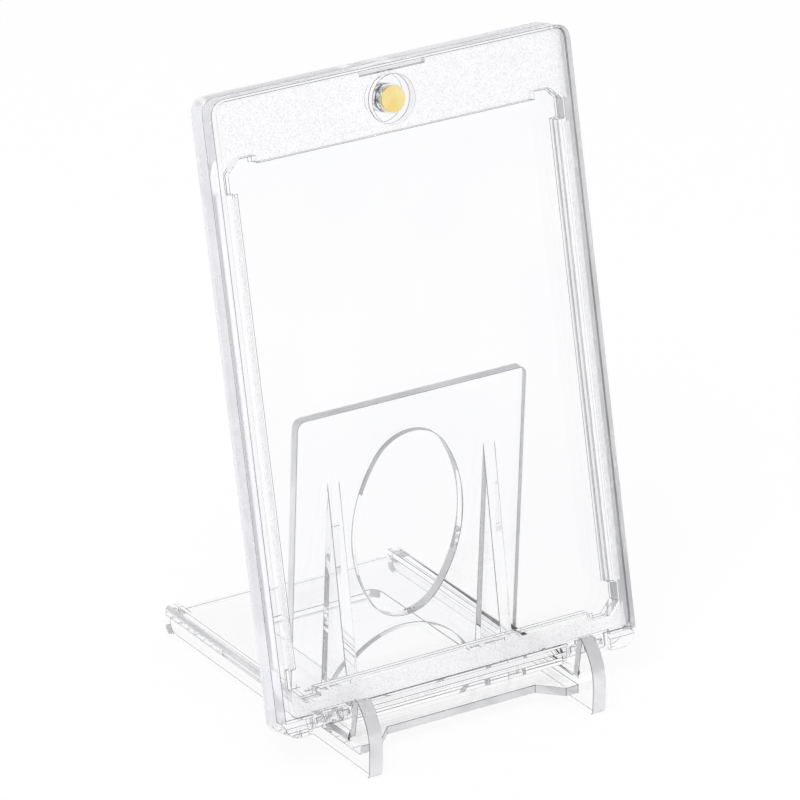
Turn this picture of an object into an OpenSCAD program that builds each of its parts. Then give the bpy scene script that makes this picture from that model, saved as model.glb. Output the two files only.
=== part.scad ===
// Empty magnetic trading card case, leaning in a one-piece clear stand.
// Millimetres. +Z is up, the case faces -Y, and the origin lies on the ground
// under the middle of the whole display.

/* [Card] */
// Width of the card that the case takes
card_w = 63.5; // [56:0.5:90]
// Height of the card that the case takes
card_h = 88.9; // [80:0.1:130]
// Room beside the card on each side
play_side = 1.75; // [0.5:0.05:3]
// Room above and below the card
play_end = 2.75; // [1:0.05:4]

/* [Case] */
// Width of the frame on each side of the card window
frame_side = 3.8; // [3.6:0.1:12]
// Height of the frame below the card window
frame_foot = 7.6; // [6.6:0.1:14]
// Height of the frame above the card window
frame_head = 12.4; // [12:0.1:24]
// Radius of the outer corners
corner_r = 2.8; // [1:0.1:5]
// Thickness of the lid at its rim
lid_t = 3; // [2.9:0.1:5]
// Thickness of the back shell at its rim
back_t = 3.85; // [3.2:0.05:6]
// Depth of the faces inside the rims of lid and back shell
face_sink = 0.3; // [0.15:0.05:0.5]
// Width of each rim along the sides
rim_side = 1.05; // [0.6:0.05:2]
// Width of each rim along the top
rim_top = 0.5; // [0.4:0.1:2]
// Width of each rim along the bottom
rim_foot = 0.5; // [0.4:0.1:2]
// Radius of the faces' corners
face_r = 2; // [0.5:0.1:4]
// Gap between the closed shells
shell_gap = 0.12; // [0.08:0.02:0.4]

/* [Card window] */
// How far each corner relief stands out past the edges
relief_out = 1.4; // [0.5:0.1:2]
// Length of each corner relief along its edges
relief_run = 6; // [4:0.2:12]
// Chamfer of each corner relief
relief_chamfer = 2.4; // [1:0.1:3.5]
// Thickness of the clear pane in the lid
pane_t = 1.1; // [0.8:0.1:1.4]
// Depth of the card's seat in the back shell
card_seat = 1.2; // [0.2:0.1:1.6]

/* [Hinge] */
// Height of the ledge along the bottom of the back shell
ledge_h = 3; // [2.9:0.05:3.1]
// How far the ledge's front stays behind the lid's rim
ledge_step = 0.4; // [0.2:0.05:0.5]
// Gap between the ledge and the lid
ledge_gap = 0.12; // [0.08:0.01:0.3]
// Angle that the lid opens before it meets the ledge
lid_open = 35; // [10:1:38]
// Distance of each hinge from the middle of the case
hinge_x = 27; // [18:0.5:29.5]
// Distance of the hinge axis behind the lid's face
axis_depth = 1.9; // [1.85:0.05:2]
// Height of the hinge axis over the bottom of the case
axis_h = 1.9; // [1.7:0.05:2]
// Diameter of each hinge peg
peg_d = 1.3; // [1:0.1:1.5]
// Length of each hinge peg out of its lug
peg_l = 1.8; // [1:0.1:2.2]
// Clearance around a hinge peg, on the radius
peg_fit = 0.05; // [0.02:0.01:0.1]
// Wall around each hinge peg in the lid's knuckles
knuckle_wall = 0.6; // [0.4:0.05:0.65]
// Width of each knuckle
knuckle_w = 2.8; // [2.5:0.1:4]
// Width of each hinge lug
lug_w = 3.1; // [2.4:0.1:4]
// Radius of each hinge lug around the axis
lug_r = 1.05; // [0.85:0.05:1.1]
// Side gap between lugs, knuckles and ledge
side_gap = 0.2; // [0.1:0.05:0.4]
// Height of the flats in the lid over the knuckles
flat_h = 0.9; // [0.3:0.1:2]

/* [Nail notch] */
// Width of the nail notch at the top of the lid's face
notch_w = 13.4; // [8:0.2:24]
// Height of the nail notch
notch_h = 0.9; // [0.5:0.1:2]
// Depth of the nail notch
notch_d = 0.5; // [0.3:0.05:0.8]

/* [Magnets] */
// Diameter of the magnets
magnet_d = 5.3; // [4.8:0.1:6]
// Diameter of the gold cap
cap_d = 4.8; // [4:0.1:4.8]
// Distance of the magnets below the top of the case
magnet_drop = 6.7; // [6.6:0.1:7.6]
// Thickness of the lid's magnet
lid_magnet_t = 1.35; // [1:0.05:1.4]
// Thickness of the back shell's magnet
back_magnet_t = 2; // [1:0.05:2.1]
// Thickness of the gold cap on the lid's magnet
cap_t = 0.3; // [0.2:0.05:0.5]
// Layer of glue at the bottom of each well and under the cap
glue_t = 0.05; // [0.02:0.01:0.1]
// How far each magnet stays below the parting face
magnet_sink = 0.1; // [0.05:0.05:0.3]
// Diameter of the open well around each magnet
well_d = 9; // [7:0.2:9.4]

/* [Stand base] */
// Width of the stand
stand_w = 50.4; // [50:0.2:64]
// Depth of the stand from its hooks to its rear edge
stand_d = 69; // [62:0.5:90]
// Width of the side rails and the hooks
rail_w = 2.8; // [2:0.1:4]
// Height of the side rails
rail_h = 5.4; // [4.8:0.1:6]
// Radius of the rails' outer top edges
rail_edge_r = 1; // [0.4:0.1:1.8]
// Radius of the rails' lower rear corners
rail_corner_r = 2; // [0.5:0.1:3]
// Height of the plate's top
plate_top = 4.2; // [3.6:0.1:4.9]
// Thickness of the plate
plate_t = 1.6; // [1.2:0.1:2.4]
// Width of the opening in the plate
opening_w = 25.6; // [16:0.2:29]
// Distance of the opening from the rear edge
opening_rear = 11; // [6:0.5:18]
// Corner radius of the opening
opening_r = 2; // [0.5:0.1:4]
// How far the opening reaches in front of the panel
opening_reach = 5.5; // [1:0.5:8]
// Depth of the recess in the plate's front edge
front_recess = 4; // [2:0.1:6]
// Width of the recess at its inner edge
front_recess_w = 31.6; // [20:0.2:34]
// Distance of the plate's front edge behind the hooks' front
front_setback = 4.7; // [3:0.1:6]

/* [Hooks] */
// Depth of each hook at its foot
hook_d = 6.5; // [5.5:0.1:7.5]
// Radius of each hook's curved front
hook_r = 10.5; // [9.5:0.1:12]
// Height at which the curved front starts
hook_belly = 5; // [4:0.1:6]
// Radius of each hook's lower front corner
hook_foot_r = 0.8; // [0.3:0.1:2]
// Angle that each hook's rear face leans forward
hook_tilt = 7.5; // [5:0.5:10]
// Radius of each hook's tip
hook_tip_r = 1; // [0.6:0.05:1.2]

/* [Back panel] */
// Width of the panel
panel_w = 48.4; // [40:0.2:50.2]
// Height of the panel's top edge over the ground
panel_top = 58; // [54:0.5:70]
// Thickness of the panel
panel_t = 2; // [1.5:0.1:3]
// Radius of the panel's upper corners
panel_corner_r = 1.6; // [0.5:0.1:6]
// Angle that the panel tips forward
panel_tip = 1.5; // [0:0.1:4]
// Width of the oval hole
oval_w = 22.9; // [12:0.1:27]
// Height of the oval hole
oval_h = 36.5; // [26:0.5:38]
// Height of the oval's middle over the ground
oval_z = 32.5; // [31.5:0.5:36]
// Height of the arch under the panel, over the plate
arch_h = 7.6; // [4:0.1:8.5]
// How far the arch's feet stand outside the opening
arch_margin = 0.9; // [0.5:0.1:2]
// Thickness of each gusset
gusset_t = 2.4; // [1.6:0.1:3.5]
// Distance between the outer faces of the gussets
gusset_span = 35.4; // [33:0.2:38]
// Height of the gussets' tips over the ground
gusset_top = 45; // [36:0.5:48]
// Reach of the gussets' feet in front of the panel
gusset_reach = 9.2; // [5:0.1:9.6]

/* [Seat] */
// Angle that the case leans back
lean = 13.6; // [10:0.2:15]
// Distance between the hooks and the case
hook_clear = 1.35; // [0.3:0.05:3]
// Gap between the case and what it rests on
rest_gap = 0.3; // [0.15:0.05:0.5]

/* [Hidden] */
$fn = 64;
// Small extra depth that lets a cut run past the face it opens
past = 0.5;
clear_color = [0.85, 0.9, 0.96, 0.4];
steel_color = [0.75, 0.76, 0.79];
gold_color = [0.85, 0.62, 0.22];

// Case, measured from its front face and from its bottom
window_w = card_w + 2 * play_side;
window_h = card_h + 2 * play_end;
window_z = frame_foot;
case_w = window_w + 2 * frame_side;
case_h = frame_foot + window_h + frame_head;
parting = lid_t + shell_gap;
case_t = parting + back_t;
lid_low = ledge_h + ledge_gap;
magnet_h = case_h - magnet_drop;
lid_magnet_rear = lid_t - magnet_sink;
lid_magnet_front = lid_magnet_rear - lid_magnet_t;
cap_rear = lid_magnet_front - glue_t;
cap_front = cap_rear - cap_t;
back_magnet_front = parting + magnet_sink;
back_magnet_rear = back_magnet_front + back_magnet_t;

// Hinge
bore_d = peg_d + 2 * peg_fit;
knuckle_r = bore_d / 2 + knuckle_wall;
group_w = lug_w + 2 * side_gap + 2 * knuckle_w;
pocket_w = group_w + 2 * side_gap;
pocket_depth = axis_depth + knuckle_r + side_gap;
flat_depth = axis_depth - knuckle_r;
bevel_w = axis_depth - ledge_step - side_gap;
bevel_drop = bevel_w * tan(lid_open);

// Stand
hook_front = -stand_d / 2;
hook_back = hook_front + hook_d;
rear = stand_d / 2;
rail_in = stand_w / 2 - rail_w;
plate_low = plate_top - plate_t;
plate_front = hook_front + front_setback;

// Hook outline: the tip's circle runs into the curved front and the rear face,
// and stands proud of both by a hair so that the outlines cross cleanly
tip_proud = 0.02;
tip_r = hook_tip_r - tip_proud;
belly = [hook_front + hook_r, hook_belly];
tilt_up = [-sin(hook_tilt), cos(hook_tilt)];
tilt_out = [-cos(hook_tilt), -sin(hook_tilt)];
tip_foot = [hook_back, rail_h] + tip_r * tilt_out;
tip_arm = tip_foot - belly;
tip_run = tip_arm * tilt_up;
tip_reach = hook_r - tip_r;
tip_climb = sqrt(tip_run * tip_run - tip_arm * tip_arm + tip_reach * tip_reach) - tip_run;
tip_mid = tip_foot + tip_climb * tilt_up;
tip_rear = tip_mid - tip_r * tilt_out;
tip_ray = belly + (tip_mid - belly) * (hook_r + hook_tip_r) / tip_reach;

// Seat of the case in the stand
case_low = rail_h + rest_gap;
case_z = case_low + case_t * sin(lean);
case_y = hook_back - (case_z - rail_h) * tan(hook_tilt) + hook_clear;
case_back_y = case_y + case_t * cos(lean);

// Back panel, whose upper front edge carries the back of the case
panel_y = case_back_y + (panel_top - case_low) * tan(lean) + rest_gap;
panel_foot_y = panel_y + (panel_top - plate_low) * tan(panel_tip);
panel_l = (panel_top - plate_low) / cos(panel_tip);
opening_front = panel_foot_y - opening_reach;
arch_w = opening_w + 2 * arch_margin;
arch_r = (arch_w * arch_w / 4 + arch_h * arch_h) / (2 * arch_h);
panel_root = plate_t / 2;

// Oval of four arcs that run into each other without a corner
oval_end_ratio = 0.74;
oval_a = oval_h / 2;
oval_b = oval_w / 2;
oval_end_r = oval_b * oval_end_ratio;
oval_end_z = oval_a - oval_end_r;
oval_side_r = (oval_b * oval_b + oval_end_z * oval_end_z - oval_end_r * oval_end_r)
    / (2 * (oval_b - oval_end_r));
oval_join_z = oval_end_z + oval_end_r * oval_end_z / (oval_side_r - oval_end_r);

// Plate parallel to the front of the case, from one depth to another
module slab(front, back) {
    translate([0, back, 0])
        rotate([90, 0, 0])
            linear_extrude(back - front)
                children();
}

// Side view outline made solid to the right of x
module side(x, t) {
    translate([x, 0, 0])
        rotate([90, 0, 90])
            linear_extrude(t)
                children();
}

// Round bar across the case, its axis at a depth and a height
module cross_bar(x, l, depth, h, d) {
    translate([x - l / 2, depth, h])
        rotate([0, 90, 0])
            cylinder(h = l, d = d);
}

// Round disc parallel to the front of the case, in the magnets' axis
module disc(front, back, d) {
    translate([0, back, magnet_h])
        rotate([90, 0, 0])
            cylinder(h = back - front, d = d);
}

// Rounded rectangle standing on the x axis
module round_rect(w, h, r) {
    translate([-w / 2 + r, 0])
        square([w - 2 * r, h]);
    translate([-w / 2, r])
        square([w, h - 2 * r]);
    for (x = [r - w / 2, w / 2 - r])
        for (y = [r, h - r])
            translate([x, y])
                circle(r);
}

// Turns the case's own frame into the place where it leans in the stand
module seated() {
    translate([0, case_y, case_z])
        rotate([-lean, 0, 0])
            children();
}

// Face of either shell, inside its rim
module face_outline(low) {
    translate([0, low])
        round_rect(case_w - 2 * rim_side, case_h - rim_top - low, face_r);
}

// One corner relief of the card recess, its outer corner chamfered
module relief(sx, sy) {
    half = relief_run / 2;
    cut = half - relief_chamfer;
    translate([sx * (window_w / 2 + relief_out - half),
               window_z + window_h / 2 + sy * (window_h / 2 + relief_out - half)])
        polygon([[-sx * half, -sy * half], [sx * half, -sy * half], [sx * half, sy * cut],
                 [sx * cut, sy * half], [-sx * half, sy * half]]);
}

module window_outline() {
    translate([-window_w / 2, window_z])
        square([window_w, window_h]);
    for (sx = [-1, 1])
        for (sy = [-1, 1])
            relief(sx, sy);
}

// Knuckle seen from the side: round at the hinge axis, straight up into the lid
module knuckle_side() {
    translate([axis_depth, axis_h])
        circle(knuckle_r);
    translate([flat_depth, axis_h])
        square([lid_t - flat_depth, lid_low + past - axis_h]);
}

// Lug seen from the side: round at the hinge axis, straight back into the shell
module lug_side() {
    translate([axis_depth, axis_h])
        circle(lug_r);
    translate([axis_depth, axis_h - lug_r])
        square([pocket_depth + past - axis_depth, 2 * lug_r]);
}

// Ledge seen from the side; its bevel clears the lid's lower edge as that swings
module ledge_side() {
    polygon([[ledge_step, 0], [parting + past, 0], [parting + past, ledge_h],
             [ledge_step + bevel_w, ledge_h], [ledge_step, ledge_h - bevel_drop]]);
}

module front_shell() {
    color(clear_color)
        seated()
            difference() {
                union() {
                    slab(0, lid_t)
                        intersection() {
                            round_rect(case_w, case_h, corner_r);
                            translate([-case_w / 2, lid_low])
                                square([case_w, case_h]);
                        }
                    for (x = [-hinge_x, hinge_x])
                        for (s = [-1, 1])
                            side(x + s * (group_w - knuckle_w) / 2 - knuckle_w / 2, knuckle_w)
                                knuckle_side();
                }
                slab(-past, face_sink)
                    face_outline(lid_low + rim_foot);
                slab(face_sink + pane_t, lid_t + past)
                    window_outline();
                disc(cap_front - glue_t, lid_t + past, well_d);
                translate([-notch_w / 2, -past, case_h - rim_top - notch_h])
                    cube([notch_w, face_sink + notch_d + past, notch_h]);
                for (x = [-hinge_x, hinge_x]) {
                    translate([x - group_w / 2, -past, lid_low - past])
                        cube([group_w, flat_depth + past, flat_h + past]);
                    cross_bar(x, lug_w + 2 * (peg_l + side_gap), axis_depth, axis_h, bore_d);
                }
            }
}

module back_shell() {
    color(clear_color)
        seated() {
            difference() {
                union() {
                    slab(parting, case_t)
                        round_rect(case_w, case_h, corner_r);
                    intersection() {
                        side(-case_w / 2, case_w)
                            ledge_side();
                        slab(0, case_t)
                            round_rect(case_w, case_h, corner_r);
                    }
                }
                slab(parting - past, parting + card_seat)
                    window_outline();
                slab(case_t - face_sink, case_t + past)
                    face_outline(rim_foot);
                disc(parting - past, back_magnet_rear + glue_t, well_d);
                for (x = [-hinge_x, hinge_x])
                    translate([x - pocket_w / 2, 0, -past])
                        cube([pocket_w, pocket_depth, ledge_h + past]);
            }
            for (x = [-hinge_x, hinge_x]) {
                side(x - lug_w / 2, lug_w)
                    lug_side();
                cross_bar(x, lug_w + 2 * peg_l, axis_depth, axis_h, peg_d);
            }
        }
}

module back_magnet() {
    color(steel_color)
        seated()
            disc(back_magnet_front, back_magnet_rear, magnet_d);
}

module lid_magnet() {
    color(steel_color)
        seated()
            disc(lid_magnet_front, lid_magnet_rear, magnet_d);
}

module magnet_cap() {
    color(gold_color)
        seated()
            disc(cap_front, cap_rear, cap_d);
}

// Rail and hook in one outline, seen from the side
module rail_side() {
    intersection() {
        union() {
            translate(belly)
                circle(hook_r, $fn = 128);
            translate([hook_front, hook_foot_r])
                square([hook_r, hook_belly - hook_foot_r]);
            translate([hook_front + hook_foot_r, 0])
                square([hook_r, hook_belly]);
            translate([hook_front + hook_foot_r, hook_foot_r])
                circle(hook_foot_r);
        }
        polygon([[hook_front - past, 0], [hook_back, 0], [hook_back, rail_h], tip_rear,
                 tip_mid, tip_ray, [hook_front - past, tip_ray[1]]]);
    }
    translate(tip_mid)
        circle(hook_tip_r);
    translate([hook_back - past, 0])
        square([rear - rail_corner_r - hook_back + past, rail_h]);
    translate([hook_back, rail_corner_r])
        square([rear - hook_back, rail_h - rail_corner_r]);
    translate([rear - rail_corner_r, rail_corner_r])
        circle(rail_corner_r);
}

// Rail from behind, its outer top edge rounded
module rail_end() {
    square([rail_w, rail_h - rail_edge_r]);
    square([rail_w - rail_edge_r, rail_h]);
    translate([rail_w - rail_edge_r, rail_h - rail_edge_r])
        circle(rail_edge_r);
}

module right_rail() {
    difference() {
        side(rail_in, rail_w)
            rail_side();
        difference() {
            translate([rail_in, hook_back, rail_h - rail_edge_r])
                cube([rail_w + past, stand_d, rail_edge_r + past]);
            translate([rail_in, rear + past, 0])
                rotate([90, 0, 0])
                    linear_extrude(stand_d + 2 * past)
                        rail_end();
        }
    }
}

module plate() {
    inner = front_recess_w / 2;
    outer = inner + front_recess;
    wide = rail_in + rail_w / 2;
    deep = plate_front + front_recess;
    translate([0, 0, plate_low])
        linear_extrude(plate_t)
            difference() {
                polygon([[-wide, rear - rail_corner_r], [-wide, plate_front], [-outer, plate_front],
                         [-inner, deep], [inner, deep], [outer, plate_front],
                         [wide, plate_front], [wide, rear - rail_corner_r],
                         [rail_in, rear], [-rail_in, rear]]);
                translate([0, opening_front])
                    round_rect(opening_w, rear - opening_rear - opening_front, opening_r);
            }
}

module oval() {
    intersection() {
        translate([oval_side_r - oval_b, 0])
            circle(oval_side_r, $fn = 160);
        translate([oval_b - oval_side_r, 0])
            circle(oval_side_r, $fn = 160);
        square([2 * oval_w, 2 * oval_join_z], center = true);
    }
    for (z = [-oval_end_z, oval_end_z])
        translate([0, z])
            circle(oval_end_r, $fn = 96);
}

module arch() {
    translate([0, plate_t + arch_h - arch_r])
        circle(arch_r, $fn = 96);
}

module panel() {
    slab(0, panel_t)
        difference() {
            union() {
                translate([-panel_w / 2, panel_root])
                    square([panel_w, panel_l / 2]);
                translate([0, panel_root])
                    round_rect(panel_w, panel_l - panel_root, panel_corner_r);
            }
            translate([0, oval_z - plate_low])
                oval();
            arch();
        }
}

// Gusset seen from the side, sharp at the tip and rooted in plate and panel
module gusset_side() {
    polygon([[-gusset_reach, panel_root], [panel_t / 2, panel_root],
             [panel_t / 2, gusset_top - plate_low], [0, gusset_top - plate_low],
             [-gusset_reach, plate_t]]);
}

module stand() {
    color(clear_color) {
        right_rail();
        mirror([1, 0, 0])
            right_rail();
        plate();
        translate([0, panel_foot_y, plate_low])
            rotate([panel_tip, 0, 0]) {
                panel();
                for (x = [-gusset_span / 2, gusset_span / 2 - gusset_t])
                    side(x, gusset_t)
                        gusset_side();
            }
    }
}

stand();
back_shell();
front_shell();
back_magnet();
lid_magnet();
magnet_cap();
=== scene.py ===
import math
import bpy
from mathutils import Matrix, Vector

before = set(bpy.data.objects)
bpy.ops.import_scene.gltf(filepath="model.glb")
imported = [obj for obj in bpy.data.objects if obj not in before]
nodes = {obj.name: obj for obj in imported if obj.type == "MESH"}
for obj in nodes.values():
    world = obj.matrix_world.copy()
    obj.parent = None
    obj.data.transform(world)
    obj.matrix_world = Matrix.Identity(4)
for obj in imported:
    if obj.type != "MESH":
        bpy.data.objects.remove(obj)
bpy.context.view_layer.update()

scene = bpy.context.scene
MM = 0.001

# ---------------------------------------------------------------- sizes, in millimetres
# Case coordinates are x across, depth behind the front of the lid's rim and height over the case's foot.
# The case leans by LEAN about their origin, which lies at CASE_Y, CASE_Z.
LEAN = math.radians(13.6)
CASE_Y = -26.9053
CASE_Z = 7.3389
CASE_HALF = 37.3
CASE_TALL = 114.4
CORNER_R = 2.8

# The card window and the chamfered reliefs at its corners
WIN_W = 67.0
WIN_H = 94.4
WIN_Z = 7.6
RELIEF_OUT = 1.4
RELIEF_HALF = 3.0
RELIEF_CUT = 0.6

# The lid's face, sunk inside its rim, and the nail notch in it
FACE_LOW = 3.62
FACE_HIGH = 113.9
FACE_SIDE = 36.25
FACE_SINK = 0.3
NOTCH_FLOOR = 0.8

# Height of the magnets' axis over the case's foot
MAGNET_H = 107.7

# Places that tell the stand's parts apart, in the frame's own coordinates: half the panel's width,
# y just in front of the panel and of the gussets, and heights over the rails and near the panel's top
PANEL_HALF = 24.2
PANEL_FRONT = -8.4
GUSSET_FRONT = -15.0
OVER_RAILS = 6.0
NEAR_PANEL_TOP = 50.0

# How near the middle of a face lies to the notch's floor, the case's outline or the panel's side
# to belong to it
NOTCH_NEAR = 0.05
OUTLINE_NEAR = 0.15
PANEL_NEAR = 0.1

# How far the frosting stays clear of the window, what the pane's sides add to that, and how far it
# stays clear of the sides, the top and the foot of the lid's face
FROST_WINDOW = 0.4
FROST_PANE = 0.3
FROST_SIDE = 1.0
FROST_TOP = 0.25
FROST_FOOT = 0.3
# Half the width of the frosting's soft edge, and how near to the lid's face it lies
FROST_BLUR = 0.04
FROST_NEAR = 0.1

# The polished oval round the magnets: half its straight part, which lies on the -x side of their axis,
# its radius and the width of its soft edge
OVAL_HALF = 1.1
OVAL_R = 4.6
OVAL_BLUR = 0.1

# Widths of the moulded edge radii
STAND_EDGE = 0.14
BACK_EDGE = 0.10
LID_EDGE = 0.12

# A stand's face is square to an axis where its normal's part along that axis is over this
SQUARE_ON = 0.95
SQUARE_ON_Y = 0.97
# A shell's face looks forward, backward or down where its normal's part that way is over this
SHELL_TURN = 0.3

PLASTIC_IOR = 1.49
INNER_IOR = 1.04
CLEAR = (0.998, 0.998, 1.0, 1.0)
CLEAR_DEEP = (0.986, 0.987, 0.994, 1.0)
WHITE = (1.0, 1.0, 1.0, 1.0)


# ---------------------------------------------------------------- shader helpers
class Graph:
    """A node tree, with one short call for each kind of node that is used here."""

    def __init__(self, tree):
        tree.nodes.clear()
        self.new = tree.nodes.new
        self.link = tree.links.new

    def feed(self, socket, value):
        """Link an output to the socket, or set the socket to a number or a colour."""
        if isinstance(value, bpy.types.NodeSocket):
            self.link(value, socket)
        else:
            socket.default_value = value

    def calc(self, operation, a, b=None):
        node = self.new("ShaderNodeMath")
        node.operation = operation
        self.feed(node.inputs[0], a)
        if b is not None:
            self.feed(node.inputs[1], b)
        return node.outputs[0]

    def add(self, a, b):
        return self.calc("ADD", a, b)

    def subtract(self, a, b):
        return self.calc("SUBTRACT", a, b)

    def multiply(self, a, b):
        return self.calc("MULTIPLY", a, b)

    def least(self, a, b):
        return self.calc("MINIMUM", a, b)

    def most(self, a, b):
        return self.calc("MAXIMUM", a, b)

    def absolute(self, a):
        return self.calc("ABSOLUTE", a)

    def ramp(self, value, low, high, to_low=0.0, to_high=1.0, smooth=False):
        """Spread low to high over to_low to to_high, and hold the value beyond both ends."""
        node = self.new("ShaderNodeMapRange")
        node.clamp = True
        if smooth:
            node.interpolation_type = "SMOOTHSTEP"
        self.link(value, node.inputs["Value"])
        node.inputs["From Min"].default_value = low
        node.inputs["From Max"].default_value = high
        node.inputs["To Min"].default_value = to_low
        node.inputs["To Max"].default_value = to_high
        return node.outputs["Result"]

    def noise(self, place, scale, detail, rough, seed):
        node = self.new("ShaderNodeTexNoise")
        node.noise_dimensions = "4D"
        node.inputs["W"].default_value = seed
        node.inputs["Scale"].default_value = scale
        node.inputs["Detail"].default_value = detail
        node.inputs["Roughness"].default_value = rough
        self.link(place, node.inputs["Vector"])
        return node.outputs["Fac"]

    def mix(self, share, a, b):
        """Colour a where share is 0 and colour b where it is 1."""
        node = self.new("ShaderNodeMix")
        node.data_type = "RGBA"
        self.link(share, node.inputs[0])
        self.feed(node.inputs[6], a)
        self.feed(node.inputs[7], b)
        return node.outputs[2]

    def bump(self, height, strength, distance, normal=None):
        node = self.new("ShaderNodeBump")
        node.inputs["Strength"].default_value = strength
        node.inputs["Distance"].default_value = distance
        self.link(height, node.inputs["Height"])
        if normal is not None:
            self.link(normal, node.inputs["Normal"])
        return node.outputs["Normal"]

    def split(self, vector):
        node = self.new("ShaderNodeSeparateXYZ")
        self.link(vector, node.inputs[0])
        return node.outputs


def new_material(name):
    material = bpy.data.materials.new(name)
    material.use_nodes = True
    return material, Graph(material.node_tree)


def set_surface(g, shader, color, rough, normal):
    g.link(color, shader.inputs["Base Color"])
    g.link(rough, shader.inputs["Roughness"])
    g.link(normal, shader.inputs["Normal"])
    out = g.new("ShaderNodeOutputMaterial")
    g.link(shader.outputs["BSDF"], out.inputs["Surface"])


# ---------------------------------------------------------------- clear plastic
def case_place(g, place):
    """The point in case coordinates."""
    node = g.new("ShaderNodeMapping")
    node.vector_type = "TEXTURE"
    node.inputs["Location"].default_value = (0.0, CASE_Y * MM, CASE_Z * MM)
    node.inputs["Rotation"].default_value = (-LEAN, 0.0, 0.0)
    node.inputs["Scale"].default_value = (MM, MM, MM)
    g.link(place, node.inputs["Vector"])
    return node.outputs["Vector"]


def frost_mask(g, place):
    """1 on the frosted part of the lid's face, round the window and the polished oval, else 0."""
    x, depth, height = g.split(place)
    u = g.absolute(x)
    v = g.absolute(g.subtract(height, WIN_Z + WIN_H / 2))
    # the distances outside the pane and outside the corner reliefs; the window is both together
    pane = g.most(g.subtract(u, WIN_W / 2 + FROST_PANE), g.subtract(v, WIN_H / 2))
    relief_u = g.subtract(u, WIN_W / 2 + RELIEF_OUT - RELIEF_HALF)
    relief_v = g.subtract(v, WIN_H / 2 + RELIEF_OUT - RELIEF_HALF)
    relief = g.most(g.subtract(g.absolute(relief_u), RELIEF_HALF),
                    g.subtract(g.absolute(relief_v), RELIEF_HALF))
    chamfer = g.subtract(g.add(relief_u, relief_v), RELIEF_HALF + RELIEF_CUT)
    relief = g.most(relief, chamfer)
    zone = g.subtract(g.least(pane, relief), FROST_WINDOW)
    zone = g.least(zone, g.subtract(FACE_SIDE - FROST_SIDE, u))
    zone = g.least(zone, g.subtract(FACE_HIGH - FROST_TOP, height))
    zone = g.least(zone, g.subtract(height, FACE_LOW + FROST_FOOT))
    on_face = g.calc("LESS_THAN", g.absolute(g.subtract(depth, FACE_SINK)), FROST_NEAR)
    mask = g.multiply(g.ramp(zone, -FROST_BLUR, FROST_BLUR), on_face)
    oval_x = g.most(g.subtract(g.absolute(g.add(x, OVAL_HALF)), OVAL_HALF), 0.0)
    oval_h = g.subtract(height, MAGNET_H)
    oval = g.calc("SQRT", g.add(g.multiply(oval_x, oval_x), g.multiply(oval_h, oval_h)))
    return g.multiply(mask, g.ramp(oval, OVAL_R, OVAL_R + OVAL_BLUR))


def clear_plastic(name, frosted=False):
    """Clear moulded plastic with faint flow lines and haze, and with frosting for the lid's face."""
    material, g = new_material(name)
    shader = g.new("ShaderNodeBsdfPrincipled")
    shader.inputs["Transmission Weight"].default_value = 1.0
    shader.inputs["IOR"].default_value = PLASTIC_IOR
    place = g.new("ShaderNodeTexCoord").outputs["Object"]
    flow = g.noise(place, scale=45.0, detail=2.0, rough=0.5, seed=1.3)
    haze = g.noise(place, scale=160.0, detail=3.0, rough=0.6, seed=4.1)
    color = g.mix(g.ramp(flow, 0.3, 0.7), CLEAR, CLEAR_DEEP)
    rough = g.ramp(haze, 0.35, 0.75, 0.0, 0.035)
    normal = g.bump(flow, strength=0.02, distance=0.3 * MM)
    if frosted:
        spot = case_place(g, place)
        frost = frost_mask(g, spot)
        g.link(g.ramp(frost, 0.0, 1.0, 1.0, 0.55), shader.inputs["Transmission Weight"])
        grain = g.noise(spot, scale=4.8, detail=1.0, rough=0.5, seed=7.7)
        fine = g.noise(spot, scale=8.0, detail=1.0, rough=0.5, seed=2.2)
        grit = g.add(g.multiply(grain, 0.6), g.multiply(fine, 0.4))
        specks = g.multiply(g.ramp(grit, 0.48, 0.61), frost)
        color = g.mix(specks, color, (0.72, 0.72, 0.73, 1.0))
        rough = g.most(rough, g.multiply(frost, 0.4))
        normal = g.bump(g.multiply(grit, frost), strength=0.6, distance=0.08 * MM, normal=normal)
    set_surface(g, shader, color, rough, normal)
    return material


def face_plastic(name, light, dark, clear, rough_low, rough_high, ior=PLASTIC_IOR):
    """Plastic whose surface differs from the broad faces: cut faces, walls, rims and edge radii; the cut
    faces' grey and the edge radii's near-black are painted shade.
    """
    material, g = new_material(name)
    shader = g.new("ShaderNodeBsdfPrincipled")
    shader.inputs["Transmission Weight"].default_value = clear
    shader.inputs["IOR"].default_value = ior
    place = g.new("ShaderNodeTexCoord").outputs["Object"]
    wave = g.noise(place, scale=120.0, detail=2.0, rough=0.5, seed=3.3)
    fine = g.noise(place, scale=900.0, detail=2.0, rough=0.5, seed=6.6)
    color = g.mix(g.ramp(wave, 0.35, 0.65), light, dark)
    rough = g.ramp(wave, 0.3, 0.7, rough_low, rough_high)
    normal = g.bump(fine, strength=0.1, distance=0.02 * MM)
    set_surface(g, shader, color, rough, normal)
    return material


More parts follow.
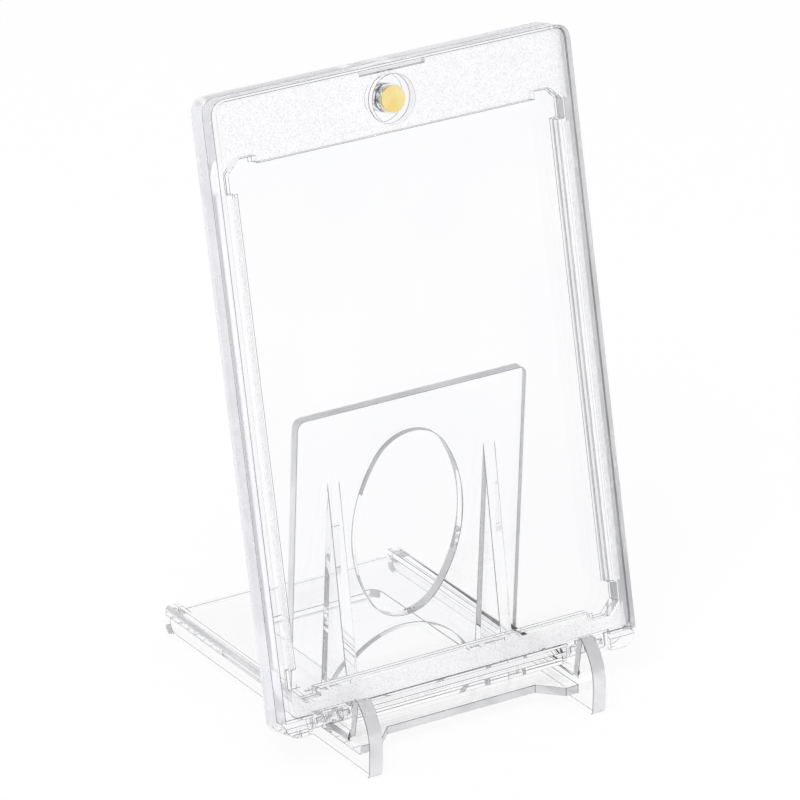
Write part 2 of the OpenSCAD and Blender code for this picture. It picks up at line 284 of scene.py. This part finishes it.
mat_stand = clear_plastic("clear_stand")
mat_back = clear_plastic("clear_back")
mat_lid = clear_plastic("clear_lid", frosted=True)
# Near-black on the edge radii is painted shade: the dark lines that clear plastic shows along its edges
mat_edge_painted_shade = face_plastic("edge_radius_painted_shade", light=(0.17, 0.17, 0.19, 1.0), dark=(0.07, 0.07, 0.08, 1.0),
                        clear=0.85, rough_low=0.1, rough_high=0.3)
# The grey of the stand's narrow cut faces is painted shade; their rougher finish is the plastic's own
mat_cut_painted_shade = face_plastic("cut_face_painted_shade", light=(0.76, 0.76, 0.77, 1.0), dark=(0.66, 0.66, 0.675, 1.0),
                       clear=0.45, rough_low=0.2, rough_high=0.4)
mat_side = face_plastic("side_wall", light=(0.96, 0.96, 0.985, 1.0), dark=(0.92, 0.92, 0.955, 1.0),
                        clear=0.5, rough_low=0.2, rough_high=0.35)
mat_rim = face_plastic("panel_rim", light=WHITE, dark=(0.95, 0.95, 0.96, 1.0),
                       clear=0.3, rough_low=0.3, rough_high=0.45)
mat_inner = face_plastic("inner_wall", light=WHITE, dark=(0.98, 0.98, 0.99, 1.0),
                         clear=1.0, rough_low=0.0, rough_high=0.02, ior=INNER_IOR)


# ---------------------------------------------------------------- metals
def metal(name, light, dark, cloud_scale, cloud_spread, end_share, rough_low, rough_high, grain_depth):
    """Clouded metal for a disc in the magnets' axis; end_share is how much of the cloud its ends show."""
    material, g = new_material(name)
    shader = g.new("ShaderNodeBsdfPrincipled")
    shader.inputs["Metallic"].default_value = 1.0
    place = g.new("ShaderNodeTexCoord").outputs
    cloud = g.noise(place["Object"], cloud_scale, detail=3.0, rough=0.55, seed=0.4)
    fine = g.noise(place["Object"], scale=2900.0, detail=2.0, rough=0.5, seed=5.2)
    along = g.new("ShaderNodeVectorMath")
    along.operation = "DOT_PRODUCT"
    g.link(place["Normal"], along.inputs[0])
    along.inputs[1].default_value = (0.0, math.cos(LEAN), -math.sin(LEAN))
    wall = g.subtract(1.0, g.absolute(along.outputs["Value"]))
    cloud = g.ramp(cloud, 0.5 - cloud_spread, 0.5 + cloud_spread)
    cloud = g.multiply(cloud, g.ramp(wall, 0.0, 0.5, end_share, 1.0))
    color = g.mix(cloud, light, dark)
    rough = g.ramp(fine, 0.3, 0.7, rough_low, rough_high)
    normal = g.bump(fine, strength=0.25, distance=grain_depth * MM)
    set_surface(g, shader, color, rough, normal)
    return material


mat_steel = metal("magnet_steel", light=(0.88, 0.89, 0.91, 1.0), dark=(0.10, 0.10, 0.12, 1.0),
                  cloud_scale=750.0, cloud_spread=0.07, end_share=0.2,
                  rough_low=0.05, rough_high=0.14, grain_depth=0.01)
mat_gold = metal("cap_gold", light=(1.0, 0.88, 0.40, 1.0), dark=(1.0, 0.74, 0.23, 1.0),
                 cloud_scale=330.0, cloud_spread=0.15, end_share=1.0,
                 rough_low=0.16, rough_high=0.3, grain_depth=0.012)


# ---------------------------------------------------------------- faces and edges of the clear pieces
def turn_to_case(y, z):
    """A direction's depth and height in case coordinates."""
    return y * math.cos(LEAN) - z * math.sin(LEAN), y * math.sin(LEAN) + z * math.cos(LEAN)


def shell_face(poly):
    """1 for the outer walls and the notch's floor, 2 for the walls inside and under the case, else 0."""
    at = poly.center / MM
    depth, height = turn_to_case(at.y - CASE_Y, at.z - CASE_Z)
    facing, rising = turn_to_case(poly.normal.y, poly.normal.z)
    if abs(facing) > SHELL_TURN:
        return 1 if abs(depth - NOTCH_FLOOR) < NOTCH_NEAR and height > MAGNET_H else 0
    # distance outside the case's rounded outline
    out_x = abs(at.x) - (CASE_HALF - CORNER_R)
    out_h = abs(height - CASE_TALL / 2) - (CASE_TALL / 2 - CORNER_R)
    out = math.hypot(max(out_x, 0.0), max(out_h, 0.0)) + min(max(out_x, out_h), 0.0) - CORNER_R
    return 1 if out > -OUTLINE_NEAR and rising > -SHELL_TURN else 2


def stand_face(poly):
    """1 for the narrow faces of hooks, plate and rails, 2 for the rims of the panel and its openings,
    and 0 for the broad faces and the gussets."""
    at, normal = poly.center / MM, poly.normal
    if abs(normal.x) > SQUARE_ON:
        return 2 if abs(abs(at.x) - PANEL_HALF) < PANEL_NEAR else 0
    if abs(normal.z) > SQUARE_ON and at.z < NEAR_PANEL_TOP:
        return 0
    if abs(normal.y) > SQUARE_ON_Y and at.y > GUSSET_FRONT:
        return 0
    return 2 if at.y > PANEL_FRONT and at.z > OVER_RAILS else 1


def set_materials(piece, materials):
    piece.data.materials.clear()
    for material in materials:
        piece.data.materials.append(material)


def round_edges(piece, width):
    """Add the moulded radius along each edge, in the last of the piece's materials, which carries the
    edges' painted shade.
    """
    # the loaded mesh is split along its edges, so its faces are joined and merged before the bevel
    join = piece.modifiers.new("join_faces", "WELD")
    join.merge_threshold = 0.002 * MM
    flat = piece.modifiers.new("flat_faces", "DECIMATE")
    flat.decimate_type = "DISSOLVE"
    flat.angle_limit = math.radians(0.6)
    flat.delimit = {"MATERIAL"}
    bevel = piece.modifiers.new("edge_radius_painted_shade", "BEVEL")
    bevel.use_clamp_overlap = False
    bevel.offset_type = "WIDTH"
    bevel.width = width * MM
    bevel.segments = 1
    bevel.limit_method = "ANGLE"
    bevel.angle_limit = math.radians(34.0)
    bevel.material = len(piece.data.materials) - 1
    bevel.harden_normals = False


def dress(name, materials, choose, edge):
    """Give a clear piece its materials, each face the one that choose numbers, and rounded edges with
    painted shade.
    """
    piece = nodes[name]
    set_materials(piece, (*materials, mat_edge_painted_shade))
    for poly in piece.data.polygons:
        poly.material_index = choose(poly)
        poly.use_smooth = False
    shading = piece.data.attributes.get("custom_normal")
    if shading is not None:
        piece.data.attributes.remove(shading)
    round_edges(piece, edge)


dress("stand", (mat_stand, mat_cut_painted_shade, mat_rim), stand_face, STAND_EDGE)
dress("back_shell", (mat_back, mat_side, mat_inner), shell_face, BACK_EDGE)
dress("front_shell", (mat_lid, mat_side, mat_inner), shell_face, LID_EDGE)
set_materials(nodes["back_magnet"], (mat_steel,))
set_materials(nodes["lid_magnet"], (mat_steel,))
set_materials(nodes["magnet_cap"], (mat_gold,))


# ---------------------------------------------------------------- studio
def shows_background(g):
    """1 for rays that show the floor to the camera, directly or through gloss and clear plastic."""
    path = g.new("ShaderNodeLightPath").outputs
    shown = g.most(path["Is Camera Ray"], path["Is Glossy Ray"])
    return g.most(shown, path["Is Transmission Ray"])


def floor_material():
    """Matt white that keeps the object's shadow and reads almost as white as the background."""
    material, g = new_material("floor_white")
    matt = g.new("ShaderNodeBsdfPrincipled")
    matt.inputs["Base Color"].default_value = (0.95, 0.95, 0.95, 1)
    matt.inputs["Roughness"].default_value = 0.9
    matt.inputs["Specular IOR Level"].default_value = 0.0
    glow = g.new("ShaderNodeEmission")
    glow.inputs["Strength"].default_value = 1.0
    blend = g.new("ShaderNodeMixShader")
    g.link(g.multiply(shows_background(g), 0.92), blend.inputs["Fac"])
    g.link(matt.outputs["BSDF"], blend.inputs[1])
    g.link(glow.outputs["Emission"], blend.inputs[2])
    out = g.new("ShaderNodeOutputMaterial")
    g.link(blend.outputs["Shader"], out.inputs["Surface"])
    return material


def make_floor():
    half = 4.0
    mesh = bpy.data.meshes.new("floor")
    corners = [(-half, -half, 0), (half, -half, 0), (half, half, 0), (-half, half, 0)]
    mesh.from_pydata(corners, [], [(0, 1, 2, 3)])
    mesh.materials.append(floor_material())
    floor = bpy.data.objects.new("floor", mesh)
    scene.collection.objects.link(floor)


def make_world():
    """White to the camera; for other rays white near the horizon and greyer overhead, which draws
    the edges of the clear plastic."""
    world = bpy.data.worlds.new("studio")
    world.use_nodes = True
    g = Graph(world.node_tree)
    way = g.split(g.new("ShaderNodeTexCoord").outputs["Generated"])
    rise = g.ramp(way["Z"], 0.30, 0.75, smooth=True)
    room = g.mix(rise, WHITE, (0.60, 0.60, 0.63, 1.0))
    sky = g.new("ShaderNodeBackground")
    g.link(g.mix(g.new("ShaderNodeLightPath").outputs["Is Camera Ray"], room, WHITE), sky.inputs["Color"])
    sky.inputs["Strength"].default_value = 1.0
    out = g.new("ShaderNodeOutputWorld")
    g.link(sky.outputs["Background"], out.inputs["Surface"])
    scene.world = world


def make_key_light():
    at = Vector((-0.6, -0.5, 1.1))
    aim = Vector((0.0, 0.0, 0.05))
    light = bpy.data.lights.new("key", "AREA")
    light.shape = "SQUARE"
    light.size = 0.7
    light.energy = 9.0
    key = bpy.data.objects.new("key", light)
    scene.collection.objects.link(key)
    key.location = at
    key.rotation_euler = (aim - at).to_track_quat("-Z", "Y").to_euler()


make_floor()
make_world()
make_key_light()

# light passes through many clear walls
scene.cycles.max_bounces = 40
scene.cycles.transmission_bounces = 40
scene.cycles.glossy_bounces = 24
scene.cycles.transparent_max_bounces = 24
scene.view_settings.view_transform = "Standard"

# ---------------------------------------------------------------- camera
# The photograph is PICTURE pixels wide and high. AIM, in millimetres, shows at pixel AIM_PX_X, AIM_PX_Y,
# and at its distance a millimetre is PX_PER_MM pixels.
PICTURE = 800
AIM = (0.0, 11.5, 50.0)
AIM_PX_X = 351.7
AIM_PX_Y = 397.7
PX_PER_MM = 5.569
DISTANCE = 1206.5
SENSOR = 36.0
AZIMUTH = math.radians(-33.01)
ELEVATION = math.radians(24.14)
ROLL = math.radians(0.725)


def make_camera():
    flat = math.cos(ELEVATION)
    back = Vector((math.sin(AZIMUTH) * flat, -math.cos(AZIMUTH) * flat, math.sin(ELEVATION)))
    right = Vector((math.cos(AZIMUTH), math.sin(AZIMUTH), 0.0))
    up = back.cross(right)
    axis_x = right * math.cos(ROLL) + up * math.sin(ROLL)
    axis_y = up * math.cos(ROLL) - right * math.sin(ROLL)
    turn = Matrix((axis_x, axis_y, back)).transposed().to_4x4()
    lens = bpy.data.cameras.new("camera")
    lens.sensor_width = SENSOR
    lens.lens = PX_PER_MM * DISTANCE / PICTURE * SENSOR
    lens.shift_x = (PICTURE / 2 - AIM_PX_X) / PICTURE
    lens.shift_y = (AIM_PX_Y - PICTURE / 2) / PICTURE
    lens.clip_start = 0.05
    camera = bpy.data.objects.new("camera", lens)
    scene.collection.objects.link(camera)
    camera.matrix_world = Matrix.Translation(Vector(AIM) * MM + back * (DISTANCE * MM)) @ turn
    scene.camera = camera


make_camera()
